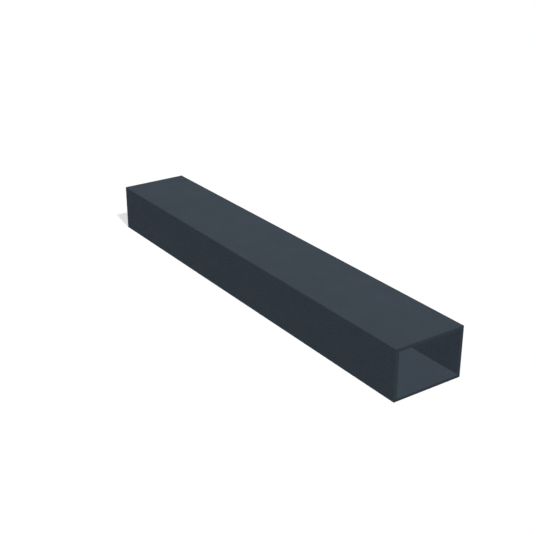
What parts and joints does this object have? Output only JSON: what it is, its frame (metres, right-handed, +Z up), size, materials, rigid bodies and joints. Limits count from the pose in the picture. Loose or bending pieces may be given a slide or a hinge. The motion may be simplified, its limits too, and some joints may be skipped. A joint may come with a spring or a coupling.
{
  "type": "rectangular metal tube",
  "caption": "Straight length of rectangular hollow-section metal tube with sharp corners, open at both ends, for framing, posts and brackets.",
  "frame": {"origin": "middle of the wide outside face that the tube lies on, half way along its length", "axes": "+X along the tube, towards the near saw cut; +Y across its wide side; +Z up, across its narrow side"},
  "size_m": [0.38, 0.06, 0.04],
  "materials": {
    "powder_coat": "matte"
  },
  "bodies": {
    "root": {"tube": "powder_coat"}
  },
  "joints": []
}
